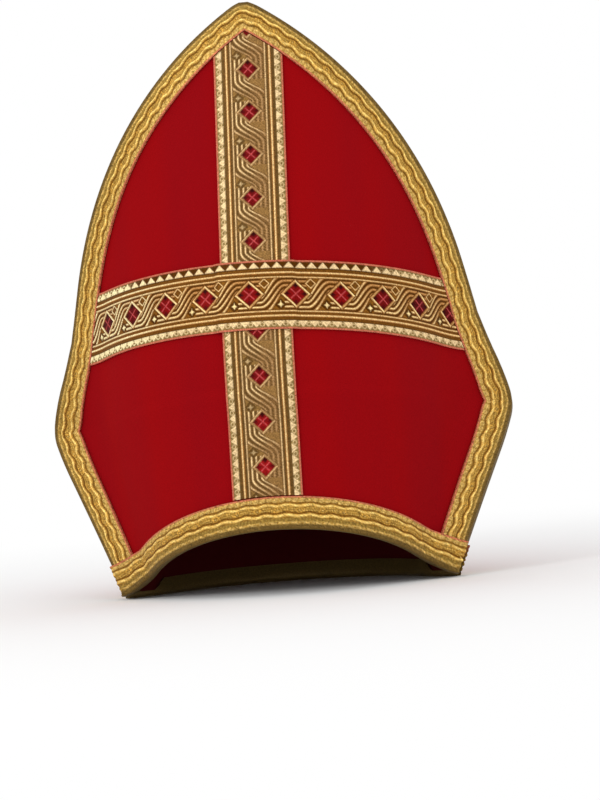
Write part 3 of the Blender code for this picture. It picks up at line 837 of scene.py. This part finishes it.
def with_fold(cloth, along, rings, wave):
    """The cloth of a braid's face, carried on round the fold and over the underside."""
    width = BRAID_WIDTH / MILLIMETRE
    count = rings.shape[1] - cloth["metal"].shape[1]
    folded = np.linspace(width, width + FOLD_REACH, FOLD_STEPS)
    inward = np.concatenate([folded, np.full(count - FOLD_STEPS, UNDERSIDE)])
    more = braid_weave(along[:, None] / MILLIMETRE + 0.0 * inward,
                       inward + 0.0 * along[:, None], wave)
    return {key: np.concatenate([cloth[key], more[key]], axis=1) for key in ("colour", "metal")}


def make_edge_braid(face):
    """Braid folded over the side and upper edges of a panel."""
    outer, inner, along = braid_rails(face, TRIM_STEP)
    inward = lanes_across()
    share = inward / inward[-1]
    place = inner[:, None] + (outer - inner)[:, None] * share[None, :, None]
    distance = along[:, None] / MILLIMETRE + 0.0 * share
    lane = np.interp(inward, EDGE_LANES["place"], EDGE_LANES["lane"])[None, :] + 0.0 * distance
    cloth = grained(braid_weave(distance, lane, EDGE_WAVE_HEIGHT), BRAID_GRAIN)
    lift = FACE_GAP + BRAID_THICKNESS + cloth["relief"] * MILLIMETRE
    lift[:, 0] = FACE_GAP
    face_points = lifted(place[..., 0], place[..., 1], lift)
    brink = surface(outer[:, 0], outer[:, 1])
    near = outer + (inner - outer) * 0.1
    out = brink - surface(near[:, 0], near[:, 1])
    out /= np.linalg.norm(out, axis=-1, keepdims=True)
    facing = normal(outer[:, 0], outer[:, 1])
    back = PANEL_WALL + FACE_GAP
    front_face = FACE_GAP + BRAID_THICKNESS
    away, across = fold_profile(front_face, back + BRAID_THICKNESS)
    wrap = (brink[:, None] + out[:, None] * (away * front_face)[None, :, None]
            + facing[:, None] * across[None, :, None])
    # Up to the shoulder the fold is pressed to the middle plane, which closes the side seam
    closest = wrap[..., 1].max(axis=1, keepdims=True)
    span = closest - wrap[..., 1].min(axis=1, keepdims=True)
    fade = smoothstep((SHOULDER_HEIGHT + SEAM_FADE - outer[:, 1:]) / SEAM_FADE)
    press = fade * np.clip(-SEAM_TOUCH - closest, 0.0, 3.0 * BRAID_THICKNESS)
    wrap[..., 1] += press * smoothstep(1.0 - (closest - wrap[..., 1]) / span)
    turn_in = np.linspace(0.0, BRAID_TURN_IN, LEG_STEPS) / EDGE_BRAID_WIDTH
    turned = outer[:, None] + (inner - outer)[:, None] * turn_in[None, :, None]
    legs = []
    for depth, order in ((back + BRAID_THICKNESS, 1), (back, -1)):
        leg = turned[:, ::order]
        legs.append(lifted(leg[..., 0], leg[..., 1], np.full(leg.shape[:2], -depth)))
    flat = outer[:, None] + (inner - outer)[:, None] * UNDER_SHARES[None, :, None]
    beneath = lifted(flat[..., 0], flat[..., 1], np.full(flat.shape[:2], FACE_GAP))
    inner_brink = (brink + (out + facing) * FACE_GAP)[:, None]
    inner_back = (brink + out * FACE_GAP - facing * back)[:, None]
    rings = np.concatenate([face_points, wrap, legs[0], legs[1][:, :-1], inner_back,
                            inner_brink, beneath], axis=1)
    joined = with_fold(cloth, along, rings, EDGE_WAVE_HEIGHT)
    made = piece(face + "_edge_braiding", rings, joined, [BRAID], None, face == "back")
    register(made, face + "_edge_braid")


def rim_lift(side, height):
    """Gap under the rim braid, which climbs over the ends of the edge braid."""
    foot = inner_edge_side(height) - 0.3 * BRAID_RAMP
    climb = smoothstep((np.abs(side) - foot) / BRAID_RAMP + 1.0)
    return FACE_GAP + climb * (BRAID_THICKNESS + FACE_GAP)


def make_rim_braid(face):
    """Braid folded over the bottom rim of a panel, its ends rounded off at the side seams."""
    count = int(2.0 * RIM_HALF_ARC / TRIM_STEP) + 2
    side = np.linspace(-RIM_HALF_ARC, RIM_HALF_ARC, count)
    inward = lanes_across()
    foot = rim_height(side, face)
    height = foot[:, None] + BRAID_WIDTH - inward[None, :] * MILLIMETRE
    fan_start = RIM_FAN_START * RIM_HALF_ARC
    fan = smoothstep((np.abs(side) - fan_start) / (RIM_HALF_ARC - fan_start))[:, None]
    place = side[:, None] * (1.0 + fan * (half_arc(height) / RIM_HALF_ARC - 1.0))
    end = smoothstep((np.abs(side) - RIM_HALF_ARC + RIM_END_ROUND) / RIM_END_ROUND)
    reach = end * (FACE_GAP + BRAID_THICKNESS) * np.sign(side)
    distance = side[:, None] / MILLIMETRE + 0.0 * inward
    ridges = end[:, None] * 0.5 * np.sin(inward * 1.9)[None, :]
    cloth = grained(braid_weave(distance, inward + 0.0 * distance, RIM_WAVE_HEIGHT), BRAID_GRAIN)
    lift = rim_lift(place, height) + BRAID_THICKNESS + (cloth["relief"] + ridges) * MILLIMETRE
    lift[:, 0] -= BRAID_THICKNESS
    rounding = (1.0 - np.sqrt(1.0 - (0.98 * end) ** 2)) * BRAID_THICKNESS
    face_points = lifted(place, height, lift - rounding[:, None])
    face_points[..., 0] += reach[:, None]
    base = surface(side, foot)
    facing = normal(side, foot)
    back = PANEL_WALL + FOLD_GAP
    gap = rim_lift(side, foot)[:, None]
    away, across = fold_profile(gap + BRAID_THICKNESS, back + BRAID_THICKNESS)
    drop = np.array([0.0, 0.0, -1.0])
    wrap = (base[:, None] + drop * ((FACE_GAP + BRAID_THICKNESS) * away)[None, :, None]
            + facing[:, None] * across[..., None])
    stop = smoothstep((RIM_HALF_ARC - RIM_TURN_STOP - np.abs(side)) / BRAID_RAMP)
    turn_in = MILLIMETRE + RIM_TURN_IN * stop[:, None]
    climb = np.linspace(0.0, 1.0, LEG_STEPS)[None, :] * turn_in
    legs = []
    for depth, order in ((back + BRAID_THICKNESS, 1), (back, -1)):
        legs.append(lifted(side[:, None] + 0.0 * climb, foot[:, None] + climb[:, ::order],
                           np.full(climb.shape, -depth)))
    inner_back = (base - facing * back + drop * FACE_GAP)[:, None]
    inner_brink = (base + facing * gap + drop * FACE_GAP)[:, None]
    high = foot[:, None] + BRAID_WIDTH * UNDER_SHARES
    beneath = lifted(side[:, None] + 0.0 * high, high, rim_lift(side[:, None], high))
    tail = [wrap, legs[0], legs[1][:, :-1], inner_back, inner_brink, beneath]
    for group in tail:
        group[..., 0] += reach[:, None]
    rings = np.concatenate([face_points] + tail, axis=1)
    joined = with_fold(cloth, side, rings, RIM_WAVE_HEIGHT)
    made = piece(face + "_rim_braiding", rings, joined, [BRAID], None, face == "back")
    register(made, face + "_rim_braid")


def threads_across():
    """Evenly spaced distances across a galloon from its middle line."""
    return np.arange(-0.5, 0.5 + 1e-6, WEAVE_STEP / GALLOON_WIDTH) * GALLOON_WIDTH


def make_galloon(name, node, side, height, lift, cloth):
    """A galloon from its woven face and its plain back a little below."""
    top = lift + GALLOON_THICKNESS + cloth["relief"] * MILLIMETRE
    back = slice(None, None, -8)
    rings = np.concatenate([lifted(side[:, :1], height[:, :1], lift[:, :1]),
                            lifted(side, height, top),
                            lifted(side[:, back], height[:, back], lift[:, back])], axis=1)
    joined = {key: np.concatenate([cloth[key][:, :1], cloth[key], cloth[key][:, back]], axis=1)
              for key in ("colour", "metal")}
    register(piece(name, rings, joined, [GALLOON]), node)


def make_upright_galloon():
    """The band from the rim to the point, its pattern eased closer together at the foot."""
    across = threads_across()
    side = (UPRIGHT_SHIFT + across)[None, :]
    low = rim_height(side, "front") + BRAID_WIDTH + END_GAP
    lean = UPRIGHT_TILT * (inner_edge_height(side) - CROSS_HEIGHT)
    high = inner_edge_height(side + lean) - END_GAP
    share = np.linspace(0.0, 1.0, int(PANEL_HEIGHT / WEAVE_STEP * 0.9))[:, None]
    height = low + (high - low) * share
    side = side + UPRIGHT_TILT * (height - CROSS_HEIGHT)
    eased = UPRIGHT_EASE * np.maximum(UPRIGHT_EASE_TOP - height, 0.0)
    cloth = galloon_weave(UPRIGHT_PHASE - (height - eased) / MILLIMETRE,
                          across / MILLIMETRE + 0.0 * height, UPRIGHT_STYLE)
    cloth = grained(cloth, GALLOON_GRAIN)
    lift = np.full(height.shape, FACE_GAP)
    make_galloon("upright_weave", "front_upright_galloon", side, height, lift, cloth)


def catch_light(cloth, along):
    """Painted highlight on the threads at the left end of the cross band, and painted shade on
    its stones at both ends, where the band turns away.
    """
    colour = cloth["colour"]
    left = smoothstep((-along - 45.0) / 70.0)
    bright = smoothstep((colour[..., 1] - 0.18) / 0.16) * 0.85 * left
    red = smoothstep((colour[..., 0] / (colour[..., 1] + 0.004) - 7.0) / 3.0)
    dark = red * smoothstep((np.abs(along) - 55.0) / 70.0) * 0.7
    colour = colour * (1.0 - bright[..., None]) + TONES["shine"] * bright[..., None]
    cloth["colour"] = colour * (1.0 - dark[..., None]) + TONES["garnet_dark"] * dark[..., None]
    return cloth


def make_cross_galloon():
    """The band from side to side, which climbs over the upright one."""
    across = threads_across()
    share = np.linspace(-1.0, 1.0, int(2.0 * SHOULDER_HALF_ARC / WEAVE_STEP * 0.86))[:, None]
    side = share * SPRING_HALF_ARC + 0.0 * across
    for _ in range(CROSS_ROUNDS):
        height = CROSS_HEIGHT + across + CROSS_TILT * np.sign(side) * np.abs(side[-1])
        side = share * (inner_edge_side(height) - END_GAP)
    height = CROSS_HEIGHT + across + CROSS_TILT * side
    away = np.abs(side - UPRIGHT_SHIFT) - GALLOON_WIDTH / 2.0
    climb = 1.0 - smoothstep((away - END_GAP) / (GALLOON_RAMP - END_GAP))
    lift = FACE_GAP + climb * (GALLOON_THICKNESS + FACE_GAP)
    along = side / MILLIMETRE
    cloth = galloon_weave(along - CROSS_PHASE, across / MILLIMETRE + 0.0 * height, CROSS_STYLE)
    cloth = grained(catch_light(cloth, along), GALLOON_GRAIN)
    make_galloon("cross_weave", "front_cross_galloon", side, height, lift, cloth)


def make_gusset():
    """Cloth that sags between the two peaks; returns its flat size and area."""
    path = side_rails(GUSSET_INSET)[3]
    path = path[path[:, 1] > SHOULDER_HEIGHT + GUSSET_START]
    right = resample(path, GUSSET_ROWS)
    stations = np.vstack([right, right[::-1][1:] * np.array([-1.0, 1.0])])
    hem = lifted(stations[:, 0], stations[:, 1],
                 np.full(len(stations), -(PANEL_WALL + FACE_GAP)))
    foot = hem[0, 2]
    climb = smoothstep(VALLEY_CLIMB * (hem[:, 2] - foot) / (hem[:, 2].max() - foot))
    bottom = np.minimum(foot + (VALLEY_HEIGHT - foot) * climb, hem[:, 2])
    share = np.linspace(-1.0, 1.0, GUSSET_COLUMNS)[None, :]
    rise = np.abs(share) ** VALLEY_SHARPNESS
    across = hem[:, :1] + 0.0 * share
    lower = np.stack([across, -hem[:, 1:2] * share,
                      bottom[:, None] + (hem[:, 2] - bottom)[:, None] * rise], axis=-1)
    facing = np.cross(np.gradient(lower, axis=0), np.gradient(lower, axis=1))
    facing /= np.linalg.norm(facing, axis=-1, keepdims=True)
    if facing[len(facing) // 3, GUSSET_COLUMNS // 2, 2] < 0.0:
        facing = -facing
    upper = lower + facing * GUSSET_WALL
    rings = np.concatenate([upper, lower[:, ::-1]], axis=1)
    tint = np.tile(TONES["velvet_cool"], rings.shape[:2] + (1,))
    tint[:, GUSSET_COLUMNS:] = TONES["lining"]
    cloth = {"colour": tint, "metal": np.zeros(rings.shape[:2])}
    made = piece("gusset_cloth", rings, cloth, [LINING])
    register(made, "crown_gusset")
    middle = (upper + lower) / 2.0
    run = np.linalg.norm(np.diff(middle, axis=0), axis=-1)
    girth = np.linalg.norm(np.diff(middle, axis=1), axis=-1)
    side_a = np.diff(middle, axis=0)[:, :-1]
    side_b = np.diff(middle, axis=1)[:-1]
    area = float(np.linalg.norm(np.cross(side_a, side_b), axis=-1).sum())
    flat = (float(girth.sum(axis=1).max()), float(run.sum(axis=0).max()))
    return flat, area


for make in (make_panel, make_edge_braid, make_rim_braid):
    for panel_face in ("front", "back"):
        make(panel_face)
make_upright_galloon()
make_cross_galloon()
GUSSET_CUT = make_gusset()


# Camera, from the fit of the photograph to the panel cut
CAMERA_DISTANCE = 1.900
CAMERA_TARGET = np.array([0.0, -0.060, 0.200])
CAMERA_FOCAL = 2587.7
PICTURE = (600.0, 800.0)
TARGET_PIXEL = (267.3, 301.6)
CAMERA_YAW = math.radians(6.59)
CAMERA_PITCH = math.radians(15.42)
CAMERA_ROLL = math.radians(2.88)
SENSOR = 36.0


def aim_camera():
    """Camera at the photograph's angle to the mitre, carried along as it leans back to rest."""
    turn = np.array([math.cos(CAMERA_YAW), math.sin(CAMERA_YAW)])
    pitch = np.array([math.cos(CAMERA_PITCH), math.sin(CAMERA_PITCH)])
    roll = np.array([math.cos(CAMERA_ROLL), math.sin(CAMERA_ROLL)])
    level = np.array([turn[0], turn[1], 0.0])
    forward = np.array([-turn[1] * pitch[0], turn[0] * pitch[0], pitch[1]])
    upward = np.array([turn[1] * pitch[1], -turn[0] * pitch[1], pitch[0]])
    right = level * roll[0] - upward * roll[1]
    up = level * roll[1] + upward * roll[0]
    place = CAMERA_TARGET - forward * CAMERA_DISTANCE
    offset = (PICTURE[0] / 2.0 - TARGET_PIXEL[0], PICTURE[1] / 2.0 - TARGET_PIXEL[1])
    aim = forward * CAMERA_FOCAL + right * offset[0] - up * offset[1]
    aim /= np.linalg.norm(aim)
    right = right - aim * float(right @ aim)
    right /= np.linalg.norm(right)
    up = np.cross(right, aim)
    axes = np.stack([LEAN @ right, LEAN @ up, -(LEAN @ aim)], axis=1)
    spot = LEAN @ place + np.array([0.0, STANCE_DEPTH, STANCE_HEIGHT])
    matrix = Matrix.Identity(4)
    for row in range(3):
        matrix[row] = (*axes[row].tolist(), float(spot[row]))
    data = bpy.data.cameras.new("Camera")
    data.sensor_width = SENSOR
    data.lens = CAMERA_FOCAL * SENSOR / PICTURE[1]
    data.clip_end = 50.0
    camera = bpy.data.objects.new("Camera", data)
    camera.matrix_world = matrix
    bpy.context.scene.collection.objects.link(camera)
    bpy.context.scene.camera = camera


aim_camera()


# Floor and light
FLOOR_REACH = 12.0
FLOOR_CLEARS = (0.25, 1.1)
KEY_PLACE = Vector((-1.1, -1.9, 1.4))
KEY_AIM = Vector((0.0, 0.0, 0.2))
KEY_SIZE = 0.6
KEY_POWER = 9.0


def make_floor():
    """A pale floor that clears to plain white away from the object."""
    corners = [(x * FLOOR_REACH, y * FLOOR_REACH, 0.0)
               for x, y in ((-1, -1), (1, -1), (1, 1), (-1, 1))]
    mesh = bpy.data.meshes.new("Floor")
    mesh.from_pydata(corners, [], [(0, 1, 2, 3)])
    paint = bpy.data.materials.new("Floor")
    paint.use_nodes = True
    nodes = paint.node_tree.nodes
    links = paint.node_tree.links
    shader = nodes["Principled BSDF"]
    shader.inputs["Base Color"].default_value = (0.90, 0.90, 0.90, 1.0)
    shader.inputs["Roughness"].default_value = 1.0
    shader.inputs["Specular IOR Level"].default_value = 0.0
    place = nodes.new("ShaderNodeTexCoord")
    away = nodes.new("ShaderNodeVectorMath")
    away.operation = "LENGTH"
    links.new(place.outputs["Object"], away.inputs[0])
    clear = nodes.new("ShaderNodeMapRange")
    clear.interpolation_type = "SMOOTHSTEP"
    clear.inputs["From Min"].default_value = FLOOR_CLEARS[0]
    clear.inputs["From Max"].default_value = FLOOR_CLEARS[1]
    links.new(away.outputs["Value"], clear.inputs["Value"])
    white = nodes.new("ShaderNodeEmission")
    mixed = nodes.new("ShaderNodeMixShader")
    links.new(clear.outputs["Result"], mixed.inputs[0])
    links.new(shader.outputs["BSDF"], mixed.inputs[1])
    links.new(white.outputs["Emission"], mixed.inputs[2])
    links.new(mixed.outputs["Shader"], nodes["Material Output"].inputs["Surface"])
    mesh.materials.append(paint)
    floor = bpy.data.objects.new("Floor", mesh)
    bpy.context.scene.collection.objects.link(floor)


def make_key_light():
    data = bpy.data.lights.new("Key light", "AREA")
    data.shape = "DISK"
    data.size = KEY_SIZE
    data.energy = KEY_POWER
    lamp = bpy.data.objects.new("Key light", data)
    lamp.location = KEY_PLACE
    lamp.rotation_euler = (KEY_AIM - KEY_PLACE).to_track_quat("-Z", "Y").to_euler()
    bpy.context.scene.collection.objects.link(lamp)


def make_world():
    world = bpy.data.worlds.new("Studio")
    world.use_nodes = True
    sky = world.node_tree.nodes["Background"]
    sky.inputs["Color"].default_value = (1.0, 1.0, 1.0, 1.0)
    sky.inputs["Strength"].default_value = 1.0
    bpy.context.scene.world = world


make_floor()
make_world()
make_key_light()
bpy.context.scene.view_settings.view_transform = "Standard"
